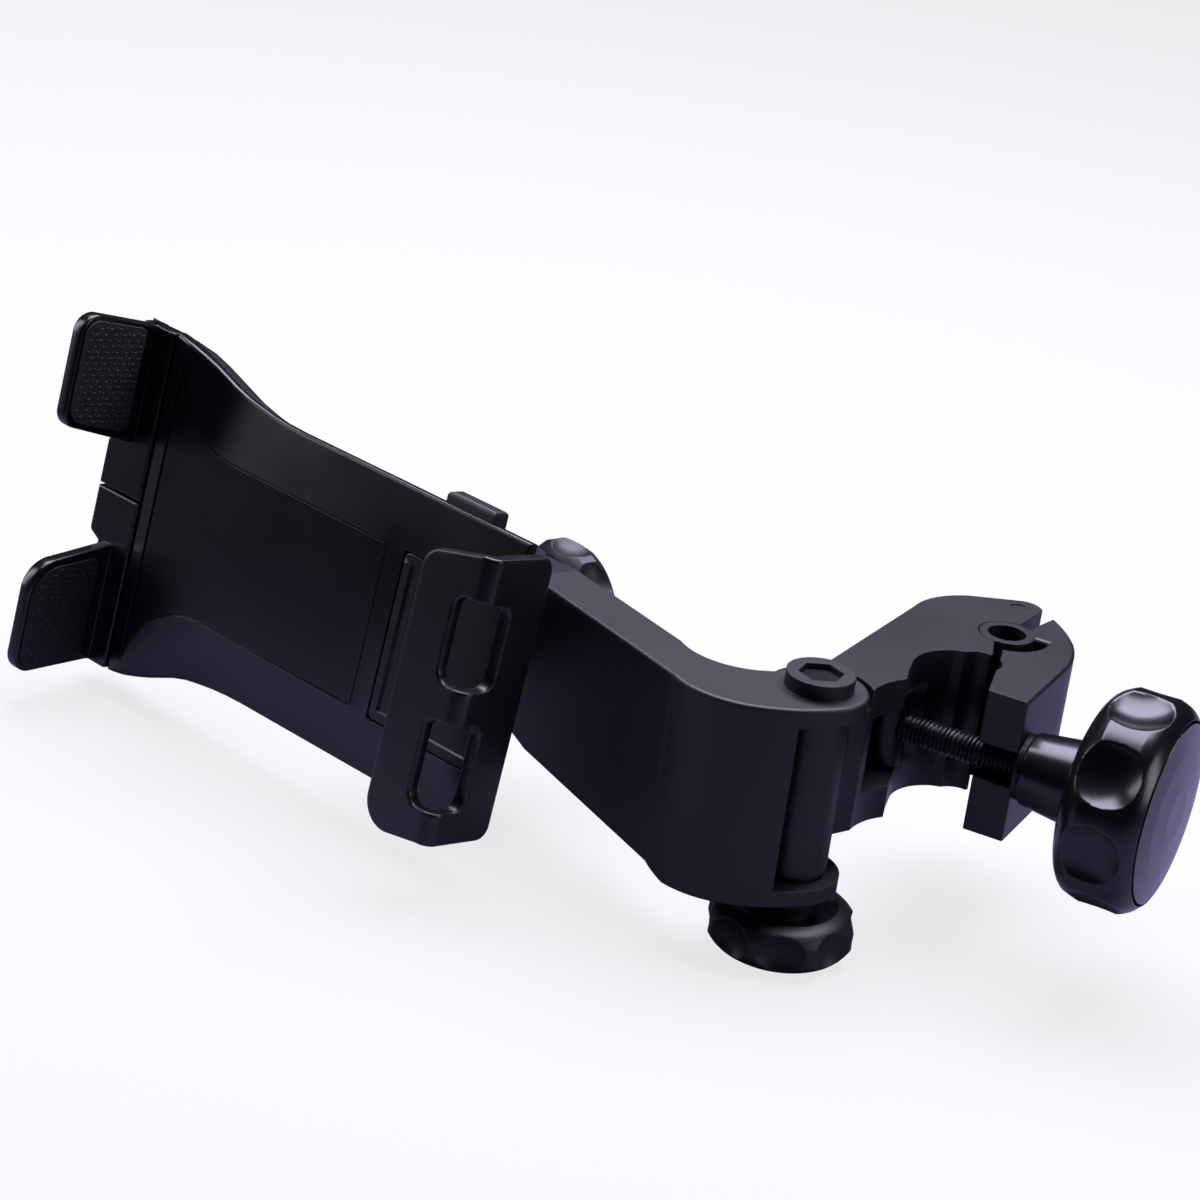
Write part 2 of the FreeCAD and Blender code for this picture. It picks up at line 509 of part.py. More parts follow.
# Front cover: gloss plate with a shallow panel and a channel for the slider's foot
cover = new_body("front_cover", CRADLE_PLACE)
grow(cover, "Pad", sketch_on(cover, "XY_Plane", waisted(-101.9, S["cover_end"])),
     "dims.cover_thick", reverse=True)
round_edges(cover, 0.8, lambda e: level_edges(0)(e) and abs(e.BoundBox.Center.y) > 30)
panel = [
    (-96.5, 46.5), ((-90.5, 33.0), (-79.0, 25.4)), ((-74.5, 23.8), (-69.0, 23.5)), (-5.0, 23.5),
    (-5.0, -23.5), (-69.0, -23.5), ((-74.5, -23.8), (-79.0, -25.4)), ((-90.5, -33.0), (-96.5, -46.5)),
]
grow(cover, "Pocket", sketch_on(cover, "XY_Plane", panel), "dims.panel_depth")
channel = [(S["foot_start"], S["foot_half"]), (60.0, S["foot_half"]), (60.0, -S["foot_half"]),
           (S["foot_start"], -S["foot_half"])]
grow(cover, "Pocket", sketch_on(cover, "XY_Plane", channel), "1.6")
inside = [(-98.0, 30.0), (-60.0, 37.6), (38.0, 37.6), (38.0, -37.6), (-60.0, -37.6), (-98.0, -30.0)]
grow(cover, "Pocket", sketch_on(cover, "XY_Plane", inside, lift=-S["cover_thick"]),
     "dims.cover_thick - 2.6", reverse=True)
primitive(cover, "SubtractiveBox", PLACE(vec(S["button_start"] - 0.3, 34.0, -8.5), ROT()),
          Length="dims.button_length + 0.6", Width="12.0", Height="dims.button_width + 0.6")
parts.append(cover)

# Back shell: tapered tray that closes the cradle from behind
shell = new_body("back_shell", CRADLE_PLACE)
shell_front = -S["cover_thick"] - 0.02
grow(shell, "Pad", sketch_on(shell, "XY_Plane", tray(0.2, -117.0, S["cover_end"]), lift=shell_front),
     "dims.shell_back - dims.cover_thick - 0.02", reverse=True, taper="dims.shell_taper")
hollow = [(-96.0, 26.0), (-60.0, 33.5), (60.0, 33.5), (60.0, -33.5), (-60.0, -33.5), (-96.0, -26.0)]
grow(shell, "Pocket", sketch_on(shell, "XY_Plane", hollow, lift=-S["cover_thick"]), "5.6")
primitive(shell, "SubtractiveBox", PLACE(vec(S["button_start"] - 0.3, 30.0, -8.5), ROT()),
          Length="dims.button_length + 0.6", Width="16.0", Height="dims.button_width + 0.6")
drill(shell, SHELL_SPOTS, PLACE(), 1.35, 7.0)
drill(shell, SWIVEL_SPOTS, PLACE(), 0.95, 7.0)
parts.append(shell)


def claw(label, side, ease):
    """One end claw: a foot beside the front cover and an upright with a recess for its pad."""
    body = new_body(label, CRADLE_PLACE)
    foot = [(-102.3, 0.4), (-102.3, 50.6), (-116.0, 50.6), (-116.0, 16.0),
            (S["claw_end"], 14.0), (S["claw_end"], 0.4)]
    foot = [(x, y * side) for x, y in foot]
    grow(body, "Pad", sketch_on(body, "XY_Plane", foot), "dims.cover_thick", reverse=True)
    tip = S["claw_tip"]
    wing = [
        (15.5 * side, -S["cover_thick"]), (15.5 * side, 0.5), (20.8 * side - 0.19 * ease * side, tip - ease),
        ((21.4 * side + 0.26 * ease * side, tip - 0.29 * ease), (21.4 * side + ease * side, tip)),
        (48.0 * side, tip), ((51.8 * side, tip - 1.5), (53.2 * side, tip - 5.0)),
        (50.6 * side, 1.0), (50.6 * side, -S["cover_thick"]),
    ]
    grow(body, "Pad", sketch_on(body, "YZ_Plane", wing, lift=S["claw_face"]), "dims.claw_thick", reverse=True)
    rim = tip - 2.4
    recess = [(20.2 * side, 5.0), (23.2 * side - 0.15 * ease * side, rim - ease),
              ((23.6 * side + 0.28 * ease * side, rim - 0.29 * ease), (23.6 * side + ease * side, rim)),
              (47.4 * side, rim), ((49.6 * side, rim - 1.0), (50.4 * side, rim - 3.4)), (48.6 * side, 5.0)]
    grow(body, "Pocket", sketch_on(body, "YZ_Plane", recess, lift=S["claw_face"]), "1.0")
    parts.append(body)
    pad = new_body(label.replace("claw", "pad"), CRADLE_PLACE)
    grow(pad, "Pad", sketch_on(pad, "YZ_Plane", recess, lift=S["claw_face"] - 1.0), "dims.pad_thick")
    parts.append(pad)


claw("upper_claw", 1, 4.5)
claw("lower_claw", -1, 8.5)

# Jaw slider: foot, wall and lip of the moving jaw with the tongue that runs inside the cradle
slider = new_body("jaw_slider", CRADLE_PLACE)
wall_out = S["jaw_wall_in"] + S["jaw_wall"]
low = -7.3
wall_in = S["jaw_wall_in"]
lip_out = S["lip_front"]
lip_in = lip_out - S["lip_thick"]
lip_edge = 22.6
hook_side = [
    (lip_edge, lip_in), (lip_edge, lip_out - 1.2),
    ((lip_edge + 0.4, lip_out - 0.4), (lip_edge + 1.2, lip_out)),
    (wall_out - 3.5, lip_out), ((wall_out - 1.0, lip_out - 1.0), (wall_out, lip_out - 3.5)),
    (wall_out, low), (wall_in, low), (wall_in, lip_in - 2.0),
    ((wall_in - 0.6, lip_in - 0.6), (wall_in - 2.0, lip_in)),
]
bracket = sketch_on(slider, "XZ_Plane", hook_side)
lip = slider.newObject("PartDesign::Pad", "Bracket")
lip.Profile = bracket
lip.setExpression("Length", "dims.jaw_half * 2")
lip.Midplane = True
bracket.Visibility = False
doc.recompute()
half = S["jaw_half"]
slant = [(45.0, half + 0.2), (20.0, half - 7.4), (20.0, half + 3.0), (45.0, half + 3.0)]
grow(slider, "Pocket", sketch_on(slider, "XY_Plane", slant, lift=30.0), "22.0")
round_edges(slider, 7.0, lambda e: abs(e.BoundBox.Center.x - lip_edge) < 0.9 and e.BoundBox.YLength < 0.01
            and half - 8.0 < e.BoundBox.Center.y < half - 5.0 and e.BoundBox.ZLength > 1.5)
round_edges(slider, 8.0, lambda e: abs(e.BoundBox.Center.x - lip_edge) < 0.9 and e.BoundBox.ZLength > 1.5
            and abs(e.BoundBox.Center.y + half) < 0.01)
round_edges(slider, 4.0, lambda e: e.BoundBox.XLength > 3.5 and abs(e.BoundBox.Center.z - low) < 0.01
            and abs(abs(e.BoundBox.Center.y) - half) < 0.01)
for centre in (14.0, -22.0):
    primitive(slider, "SubtractiveBox", PLACE(vec(37.0, centre - 10.2, 1.2), ROT()),
              Length="20.0", Width="20.4", Height="20.0")
primitive(slider, "AdditiveBox", PLACE(vec(S["foot_start"] + 0.4, -S["foot_half"] + 0.4, -1.3), ROT()),
          Length="dims.jaw_wall_in + 0.5 - dims.foot_start - 0.4",
          Width="dims.foot_half * 2 - 0.8", Height="1.1")
primitive(slider, "AdditiveBox", PLACE(vec(S["tongue_start"], -S["tongue_half"], -7.0), ROT()),
          Length="dims.jaw_wall_in + 0.5 - dims.tongue_start", Width="dims.tongue_half * 2", Height="2.1")
parts.append(slider)

# Release button: chamfered key in the cradle's upper edge, with its catch inside
button = new_body("release_button", CRADLE_PLACE)
primitive(button, "AdditiveBox", PLACE(vec(S["button_start"], 27.0, -8.2), ROT()),
          Length="dims.button_length", Width="dims.button_out + 12.9", Height="dims.button_width")
top = 39.9 + S["button_out"]
round_edges(button, 1.3, lambda e: abs(e.BoundBox.Center.y - top) < 0.01)
parts.append(button)


def screw_set(label, placement, spots, head_r, head_h, shank_r, shank):
    """Identical screws as separate solids in one sub-part, heads facing local minus Z."""
    solids = []
    for x, y, z in spots:
        head = doc.addObject("Part::Cylinder", label + "_head")
        head.Radius = head_r
        head.Height = head_h
        head.Placement = PLACE(vec(x, y, z - head_h), ROT())
        stem = doc.addObject("Part::Cylinder", label + "_stem")
        stem.Radius = shank_r
        stem.Height = shank
        stem.Placement = PLACE(vec(x, y, z), ROT())
        one = doc.addObject("Part::Fuse", label + "_screw")
        one.Base = head
        one.Tool = stem
        solids.append(one)
    group = doc.addObject("Part::Compound", label)
    group.Label = label
    group.Links = solids
    group.Placement = placement
    doc.recompute()
    parts.append(group)


screw_set("swivel_screws", CRADLE_PLACE, SWIVEL_SPOTS, 1.9, 1.0, 0.9, 5.6)
screw_set("shell_screws", CRADLE_PLACE, SHELL_SPOTS, 2.6, 1.2, 1.3, 6.0)
screw_set("ring_screws", HEAD_PLACE, RING_SPOTS, 1.3, 0.8, 0.7, 8.0)

# Output
doc.recompute()
for item in doc.Objects:
    if "Invalid" in item.State or "Error" in item.State:
        raise RuntimeError("a feature did not rebuild: " + item.Name + " " + str(item.State))
os.makedirs("parts", exist_ok=True)
for item in parts:
    shape = item.Shape
    if shape.isNull() or not shape.isValid():
        raise RuntimeError("bad shape in " + item.Label)
    shape.exportStep("parts/" + item.Label + ".step")
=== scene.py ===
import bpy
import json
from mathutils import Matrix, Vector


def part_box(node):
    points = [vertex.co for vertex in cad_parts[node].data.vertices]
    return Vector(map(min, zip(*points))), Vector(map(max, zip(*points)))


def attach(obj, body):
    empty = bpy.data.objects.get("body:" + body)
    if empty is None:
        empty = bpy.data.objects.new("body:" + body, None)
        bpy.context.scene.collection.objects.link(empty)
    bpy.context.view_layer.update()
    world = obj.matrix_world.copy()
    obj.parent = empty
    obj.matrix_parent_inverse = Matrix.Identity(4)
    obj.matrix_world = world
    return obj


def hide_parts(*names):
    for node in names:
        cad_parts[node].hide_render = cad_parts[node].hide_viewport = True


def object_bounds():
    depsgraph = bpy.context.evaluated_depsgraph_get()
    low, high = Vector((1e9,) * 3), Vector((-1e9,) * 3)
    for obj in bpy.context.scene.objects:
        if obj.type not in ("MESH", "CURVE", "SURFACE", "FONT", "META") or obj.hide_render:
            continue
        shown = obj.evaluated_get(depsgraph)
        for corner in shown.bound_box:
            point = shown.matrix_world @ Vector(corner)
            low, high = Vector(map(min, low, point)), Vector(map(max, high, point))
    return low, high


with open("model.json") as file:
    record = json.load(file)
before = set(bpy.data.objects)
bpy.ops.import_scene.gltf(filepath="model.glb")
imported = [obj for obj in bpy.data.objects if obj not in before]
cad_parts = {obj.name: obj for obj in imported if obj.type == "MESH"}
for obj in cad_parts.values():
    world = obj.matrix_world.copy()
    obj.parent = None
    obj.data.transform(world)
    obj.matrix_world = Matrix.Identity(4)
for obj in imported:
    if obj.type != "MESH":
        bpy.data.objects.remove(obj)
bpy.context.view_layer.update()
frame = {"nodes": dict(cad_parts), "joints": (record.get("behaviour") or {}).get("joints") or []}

import bmesh
import bpy
import json
import math
from mathutils import Matrix, Vector
from mathutils.geometry import delaunay_2d_cdt

# Clamp body: one black glass-filled nylon moulding with the hook, the hinge barrel and the knuckle socket.
# It is the piece that grips the headrest post; its top is lightly textured and its edges are rounded.
def add(tree, kind, links=(), **settings):
    """Adds a node with its settings and links; names starting in_ are input values."""
    node = tree.nodes.new(kind)
    for name, value in settings.items():
        if name.startswith("in_"):
            node.inputs[name[3:].replace("_", " ")].default_value = value
        else:
            setattr(node, name, value)
    for source, socket in links:
        tree.links.new(source, node.inputs[socket])
    return node


def linear(code):
    """An sRGB hex colour as linear red, green, blue and alpha."""
    parts = [int(code[i:i + 2], 16) / 255 for i in (1, 3, 5)]
    return [p / 12.92 if p <= 0.04045 else ((p + 0.055) / 1.055) ** 2.4 for p in parts] + [1.0]


def mixed(tree, factor, first, second):
    """The colour output of a blend between two sRGB hex colours."""
    blend = add(tree, "ShaderNodeMix", [(factor, "Factor")], data_type="RGBA")
    colours = [socket for socket in blend.inputs if socket.type == "RGBA"]
    for socket, code in zip(colours, (first, second)):
        socket.default_value = linear(code)
    return next(socket for socket in blend.outputs if socket.type == "RGBA")


def moulded(name, dark, light, rough, grain_mm, depth_mm, edge_mm, metal=0.0):
    """A moulded or turned finish: two close tones, a grain sized in millimetres and eased edges."""
    material = bpy.data.materials.new(name)
    material.use_nodes = True
    tree = material.node_tree
    tree.nodes.clear()
    cloud_scale, gleam_spread = 40.0, 0.06
    place = add(tree, "ShaderNodeTexCoord").outputs["Object"]
    grain = add(tree, "ShaderNodeTexNoise", [(place, "Vector")], in_Scale=1000.0 / grain_mm, in_Detail=2.0)
    cloud = add(tree, "ShaderNodeTexNoise", [(place, "Vector")], in_Scale=cloud_scale, in_Detail=5.0)
    tone = mixed(tree, cloud.outputs["Fac"], dark, light)
    ease = add(tree, "ShaderNodeBevel", samples=4, in_Radius=edge_mm / 1000)
    bump = add(tree, "ShaderNodeBump", [(grain.outputs["Fac"], "Height"), (ease.outputs["Normal"], "Normal")],
               in_Strength=1.0, in_Distance=depth_mm / 1000)
    gleam = add(tree, "ShaderNodeMapRange", [(cloud.outputs["Fac"], "Value")],
                in_To_Min=rough - gleam_spread, in_To_Max=rough + gleam_spread)
    shader = add(tree, "ShaderNodeBsdfPrincipled", [(tone, "Base Color"), (bump.outputs["Normal"], "Normal"),
                 (gleam.outputs["Result"], "Roughness")], in_Metallic=metal)
    add(tree, "ShaderNodeOutputMaterial", [(shader.outputs["BSDF"], "Surface")])
    return material


def eased(node, material, edge_mm):
    """Puts a material on an object and rounds its edges."""
    fold = math.radians(40.0)
    node.data.materials.clear()
    node.data.materials.append(material)
    if edge_mm:
        flat = node.modifiers.new("flats", "DECIMATE")
        flat.decimate_type = "DISSOLVE"
        flat.angle_limit = math.radians(1.0)
        rim = node.modifiers.new("rounding", "BEVEL")
        rim.width = edge_mm / 1000
        rim.segments = 3
        rim.limit_method = "ANGLE"
        rim.angle_limit = fold
        rim.use_clamp_overlap = True
        rim.miter_outer = "MITER_ARC"
    node.data.set_sharp_from_angle(angle=fold)


def dress(name, material, edge_mm=0.0):
    """Gives a CAD piece its material and, where asked, real rounded edges."""
    eased(frame["nodes"][name], material, edge_mm)


nylon = moulded("satin black nylon", "#0c0b10", "#131218", rough=0.45, grain_mm=0.35, depth_mm=0.004,
                edge_mm=0.5)
dress("clamp_body", nylon, edge_mm=1.1)

# Clamp jaw: a block of the same nylon that swings on its hollow knuckle to close on the post.
# The fork at its free end straddles the clamp screw.
dress("clamp_jaw", nylon, edge_mm=1.0)

# Trunnion: an upright barrel of blackened steel that turns in the clamp's flanges.
# The clamp screw is fixed in its cross hole.
steel = moulded("blackened steel", "#17171b", "#26262c", rough=0.34, grain_mm=0.8, depth_mm=0.002, edge_mm=0.2,
                metal=0.6)
dress("trunnion", steel)

# Clamp screw: an M8 stud of blackened steel, fixed in the trunnion and run through the jaw's fork.
# Its thread is a coil of one V section around a round core.
record_joints = {joint["name"]: joint for joint in frame["joints"]}


def placed(name, data):
    """A new object in the scene."""
    piece = bpy.data.objects.new(name, data)
    bpy.context.scene.collection.objects.link(piece)
    return piece


def swung(start, axis, at):
    """The placement that turns one direction onto an axis and moves to a point."""
    return Matrix.Translation(Vector(at)) @ Vector(start).rotation_difference(Vector(axis)).to_matrix().to_4x4()


def node_group(name, inputs):
    """A geometry node group with named inputs: the group, its sockets' identifiers and its input node."""
    group = bpy.data.node_groups.new(name, "GeometryNodeTree")
    sockets = {}
    for label, kind in inputs:
        sockets[label] = group.interface.new_socket(label, in_out="INPUT", socket_type=kind).identifier
    group.interface.new_socket("Geometry", in_out="OUTPUT", socket_type="NodeSocketGeometry")
    return group, sockets, add(group, "NodeGroupInput")


def grown(piece, group, sockets, shape, coating, values):
    """Ends a node group in real geometry with a material, runs it on a piece and keeps the mesh."""
    real = add(group, "GeometryNodeRealizeInstances", [(shape, 0)])
    coat = add(group, "GeometryNodeSetMaterial", [(real.outputs[0], "Geometry"), (coating, "Material")])
    add(group, "NodeGroupOutput", [(coat.outputs[0], 0)])
    builder = piece.modifiers.new(group.name, "NODES")
    builder.node_group = group
    for label, value in values.items():
        builder[sockets[label]] = value
    solid = bpy.data.meshes.new_from_object(piece.evaluated_get(bpy.context.evaluated_depsgraph_get()))
    piece.modifiers.clear()
    piece.data = solid


def thread(name, radius_mm, pitch_mm, length_mm, start, axis, material):
    """A screw thread: a core and a coil of the thread's V section, along an axis."""
    depth_share, coil_points, tooth_sides, core_sides = 0.54, 28, 3, 40
    piece = placed(name, bpy.data.meshes.new(name))
    group, sockets, enter = node_group(name, (("Radius", "NodeSocketFloat"), ("Pitch", "NodeSocketFloat"),
                                              ("Length", "NodeSocketFloat"), ("Metal", "NodeSocketMaterial")))
    long, pitch = enter.outputs["Length"], enter.outputs["Pitch"]
    depth = add(group, "ShaderNodeMath", [(pitch, 0)], operation="MULTIPLY")
    depth.inputs[1].default_value = depth_share
    core = add(group, "ShaderNodeMath", [(enter.outputs["Radius"], 0), (depth.outputs[0], 1)],
               operation="SUBTRACT")
    turns = add(group, "ShaderNodeMath", [(long, 0), (pitch, 1)], operation="DIVIDE")
    spiral = add(group, "GeometryNodeCurveSpiral", [(turns.outputs[0], "Rotations"), (long, "Height"),
                 (core.outputs[0], "Start Radius"), (core.outputs[0], "End Radius")], in_Resolution=coil_points)
    tooth = add(group, "GeometryNodeCurvePrimitiveCircle", [(depth.outputs[0], "Radius")],
                in_Resolution=tooth_sides)
    coil = add(group, "GeometryNodeCurveToMesh", [(spiral.outputs[0], "Curve"),
               (tooth.outputs["Curve"], "Profile Curve")])
    shank = add(group, "GeometryNodeMeshCylinder", [(core.outputs[0], "Radius"), (long, "Depth")],
                in_Vertices=core_sides)
    half = add(group, "ShaderNodeMath", [(long, 0)], operation="MULTIPLY")
    half.inputs[1].default_value = 0.5
    lift = add(group, "ShaderNodeCombineXYZ", [(half.outputs[0], "Z")])
    raised = add(group, "GeometryNodeTransform", [(shank.outputs["Mesh"], "Geometry"),
                 (lift.outputs[0], "Translation")])
    both = add(group, "GeometryNodeJoinGeometry", [(coil.outputs[0], 0), (raised.outputs[0], 0)])
    grown(piece, group, sockets, both.outputs[0], enter.outputs["Metal"],
          {"Radius": radius_mm / 1000, "Pitch": pitch_mm / 1000, "Length": length_mm / 1000, "Metal": material})
    piece.data.transform(swung((0, 0, 1), axis, start))
    return piece


rod_axis = Vector(record_joints["knob_turn"]["axis"])
rod_pivot = Vector(record_joints["bolt_swing"]["pos_m"])
rod_behind = 0.0038
rod_from = rod_pivot + rod_axis * -rod_behind
rod = thread("clamp_screw", radius_mm=3.98, pitch_mm=1.25, length_mm=65.4, start=rod_from, axis=rod_axis,
             material=steel)
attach(rod, "swing_bolt")
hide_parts("clamp_rod")

# Thrust washer: a ring of blackened steel, loose on the screw.
# It lies between the jaw and the handwheel's sleeve.
dress("thrust_washer", steel)

# Handwheel: one gloss black ABS moulding, a tapering sleeve and a thick wheel with round finger dishes
# in its rim. It runs along the clamp screw on the brass nut in its sleeve.
gloss = moulded("gloss black ABS", "#08080a", "#0d0d10", rough=0.24, grain_mm=1.6, depth_mm=0.0008, edge_mm=0.4)


def dished(name, profile_mm, wheel_mm, dish_mm, count, first_deg, place, material):
    """A turned body with round dishes around its rim; the profile is (along, radius) in millimetres."""
    along_dish, out_dish, r_dish = dish_mm
    facet_mm, rim_band, around = 0.45, 6, 540
    between = 2 * math.pi / count
    stations = []
    for (x0, r0), (x1, r1) in zip(profile_mm, profile_mm[1:] + profile_mm[:1]):
        in_rim = max(r0, r1) > wheel_mm - rim_band
        steps = max(1, round(math.hypot(x1 - x0, r1 - r0) / facet_mm)) if in_rim else 2
        stations += [(x0 + (x1 - x0) * i / steps, r0 + (r1 - r0) * i / steps) for i in range(steps)]
    points = []
    for x, r in stations:
        for k in range(around):
            angle = 2 * math.pi * k / around
            off = (angle - math.radians(first_deg)) % between
            off = min(off, between - off)
            inside = r_dish ** 2 - (x - along_dish) ** 2 - (out_dish * math.sin(off)) ** 2
            reach = out_dish * math.cos(off) - math.sqrt(inside) if inside > 0 else r
            rim = min(r, reach)
            spot = (x / 1000, rim * math.sin(angle) / 1000, rim * math.cos(angle) / 1000)
            points.append(place @ Vector(spot))
    rows = len(stations)
    faces = []
    for i in range(rows):
        j = (i + 1) % rows
        for k in range(around):
            n = (k + 1) % around
            faces.append((i * around + k, i * around + n, j * around + n, j * around + k))
    mesh = bpy.data.meshes.new(name)
    mesh.from_pydata(points, [], faces)
    mesh.validate()
    mesh.shade_smooth()
    mesh.set_sharp_from_angle(angle=math.radians(32.0))
    mesh.materials.append(material)
    return placed(name, mesh)


def bow(x0, r0, x1, r1, deep, steps=6):
    """Points of a rounded corner from one profile point to the next, bowed towards the outside."""
    run = Vector((x1 - x0, r1 - r0))
    out = Vector((-run.y, run.x)).normalized()
    return [tuple(Vector((x0, r0)) + run * (i / steps) + out * deep * math.sin(math.pi * i / steps))
            for i in range(1, steps)]


rod_place = swung((1, 0, 0), rod_axis, rod_pivot)
sleeve, back, face = 41.1, 56.6, 79.1
bore_r, wheel_r, back_r, face_r = 4.6, 28.8, 21.5, 24.9
wheel_profile = [(sleeve, bore_r), (sleeve, 9.3), (sleeve + 0.5, 9.8), (back - 0.8, 11.7), (back, 12.4)]
wheel_profile += [(back, back_r)] + bow(back, back_r, back + 6.5, wheel_r, 1.4)
wheel_profile += [(back + 6.5, wheel_r), (face - 5.5, wheel_r)]
wheel_profile += bow(face - 5.5, wheel_r, face, face_r, 0.6)
wheel_profile += [(face, face_r), (face - 1.2, 24.5), (face - 3.0, 24.4), (face - 3.0, bore_r)]
wheel_dish = (back + 11.3, 42.19, 17.0)
wheel = dished("handwheel", wheel_profile, wheel_r, wheel_dish, 8, -10.5, rod_place, gloss)
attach(wheel, "handwheel")
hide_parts("clamp_knob")

# Knob insert and cap: a turned brass nut pressed into the handwheel's sleeve,
# and a gloss ABS disc pressed into the wheel's face.
brass = moulded("turned brass", "#8a6c2c", "#a9873c", rough=0.35, grain_mm=0.6, depth_mm=0.002, edge_mm=0.2,
                metal=0.9)
dress("knob_insert", brass)
dress("knob_cap", gloss, edge_mm=0.4)

# Arm: a bent bar of textured black nylon with a ball seat at its far end.
# Its fork holds the clamp's barrel on the hinge bolt, and its underside hangs lowest short of the ball seat.
textured = moulded("textured black nylon", "#0c0b10", "#131218", rough=0.5, grain_mm=0.3, depth_mm=0.007,
                   edge_mm=0.6)
hinge_zero = Vector((-0.0428, -0.0306, 0.02))
arm_run = Vector((0.6107, -0.7919, 0.0))
bar_mesh = frame["nodes"]["arm"].data.copy()
bar = placed("arm_bar", bar_mesh)
underside_below = -0.0385
underside = [(-0.104, 0.0), (-0.078, -0.0076), (-0.020, -0.0006), (-0.012, 0.0)]
for corner in bar_mesh.vertices:
    run = (corner.co - hinge_zero).dot(arm_run)
    if corner.co.z - hinge_zero.z < underside_below:
        for (r0, z0), (r1, z1) in zip(underside, underside[1:]):
            if r0 < run <= r1:
                corner.co.z += z0 + (z1 - z0) * (run - r0) / (r1 - r0)
eased(bar, textured, edge_mm=0.9)
bar.data = bpy.data.meshes.new_from_object(bar.evaluated_get(bpy.context.evaluated_depsgraph_get()))
bar.modifiers.clear()
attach(bar, "swing_arm")
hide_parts("arm")

# Hinge bolt, washer, knob and nut: an M6 hexagon bolt of blackened steel held in the arm's boss,
# and below the fork a scalloped nylon knob with a brass nut pressed into it.
dress("hinge_bolt", steel, edge_mm=0.35)
dress("hinge_washer", nylon)
star_r, collar, thick = 19.9, 4.6, 14.4
axis_r, under_r, end_r = 0.01, 14.4, 13.5
shoulder, rim_start, rim_end, end = collar + 0.6, collar + 4.6, collar + thick - 5.0, collar + thick
star_profile = [(0, axis_r), (0, 8.2), (0.5, 8.6), (collar, 8.3), (collar + 2.2, 8.2), (collar + 2.4, 11.0)]
star_profile += [(shoulder, under_r)] + bow(shoulder, under_r, rim_start, star_r, 0.9)
star_profile += [(rim_start, star_r), (rim_end, star_r)] + bow(rim_end, star_r, end, end_r, 1.0)
star_profile += [(end, end_r), (end, axis_r)]
star_dish = (collar + 7.2, 26.2, 9.8)
hinge_at = Vector(record_joints["arm_swing"]["pos_m"])
top_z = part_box("hinge_knob")[1].z
hinge_place = Matrix.Translation((hinge_at.x, hinge_at.y, top_z)) @ Matrix.Rotation(math.radians(90.0), 4, "Y")
star = dished("hinge_star_knob", star_profile, star_r, star_dish, 8, 90.0, hinge_place, nylon)
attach(star, "hinge_star")
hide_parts("hinge_knob")
dress("hinge_knob_insert", brass)

# Ball head: the steel ball stud sits in the arm's end behind a nylon ring held by screws.
# The scalloped rear knob drives its screw and the pressure cup against the ball.
rear_seat = 0.0233
rear_axis = Vector(record_joints["rear_knob_turn"]["axis"])
rear_at = Vector(record_joints["rear_knob_turn"]["pos_m"]) + rear_axis * rear_seat
rear_place = swung((1, 0, 0), rear_axis, rear_at)
rear = dished("rear_star_knob", star_profile, star_r, star_dish, 8, 90.0, rear_place, nylon)
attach(rear, "rear_star")
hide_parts("rear_knob")
for name in ("rear_screw", "ball_stud", "ring_screws"):
    dress(name, steel)
dress("pressure_cup", nylon)
dress("socket_ring", nylon, edge_mm=0.6)

# Back of the cradle: a tapered tray of black nylon, held to the front cover by steel screws.
# The swivel ring is screwed to it and carries the cradle on the ball stud.
dress("swivel_ring", nylon, edge_mm=0.6)
dress("swivel_screws", steel)
dress("back_shell", nylon, edge_mm=0.8)
dress("shell_screws", steel)

# Front cover: gloss black plate. A flat panel inside a moulded groove, margins that slope away from it to the
# rounded rim, and a channel in which the jaw's foot runs. It is screwed to the back shell from behind.
cradle_lie = Vector((0.757, -0.6534, 0.0)).normalized()
cradle_out = Vector(record_joints["cradle_turn"]["axis"]).normalized()
if cradle_out.y > 0:
    cradle_out.negate()
cradle_up = cradle_out.cross(cradle_lie).normalized()
cradle_zero = Vector((-0.157305, 0.004951, 0.003106))
cradle_axes = Matrix((cradle_lie, cradle_up, cradle_out)).transposed()
cradle_place = Matrix.Translation(cradle_zero) @ cradle_axes.to_4x4()


def rounded(corners, spacing=1.5):
    """A closed outline from (x, y, corner radius) points in millimetres, with points along its runs."""
    bent = []
    for i, (x, y, r) in enumerate(corners):
        here = Vector((x, y))
        back = (Vector(corners[i - 1][:2]) - here).normalized()
        on = (Vector(corners[(i + 1) % len(corners)][:2]) - here).normalized()
        half = back.angle(on) / 2
        if r <= 0:
            bent.append(here)
            continue
        centre = here + (back + on).normalized() * (r / math.sin(half))
        first = here + back * (r / math.tan(half)) - centre
        last = here + on * (r / math.tan(half)) - centre
        sweep = math.pi - 2 * half
        steps = max(3, round(sweep * r / 0.5))
        for k in range(steps + 1):
            a = sweep * k / steps
            bent.append(centre + (first * math.sin(sweep - a) + last * math.sin(a)) / math.sin(sweep))
    outline = []
    for here, ahead in zip(bent, bent[1:] + bent[:1]):
        parts = max(1, math.ceil((ahead - here).length / spacing))
        outline += [here.lerp(ahead, k / parts) for k in range(parts)]
    return outline


def inset(outline, by):
    """The outline moved to its left by a distance."""
    moved = []
    for i, here in enumerate(outline):
        into = (here - outline[i - 1]).normalized()
        out = (outline[(i + 1) % len(outline)] - here).normalized()
        side_in, side_out = Vector((-into.y, into.x)), Vector((-out.y, out.x))
        middle = (side_in + side_out).normalized()
        moved.append(here + middle * (by / max(0.4, middle.dot(side_in))))
    return moved


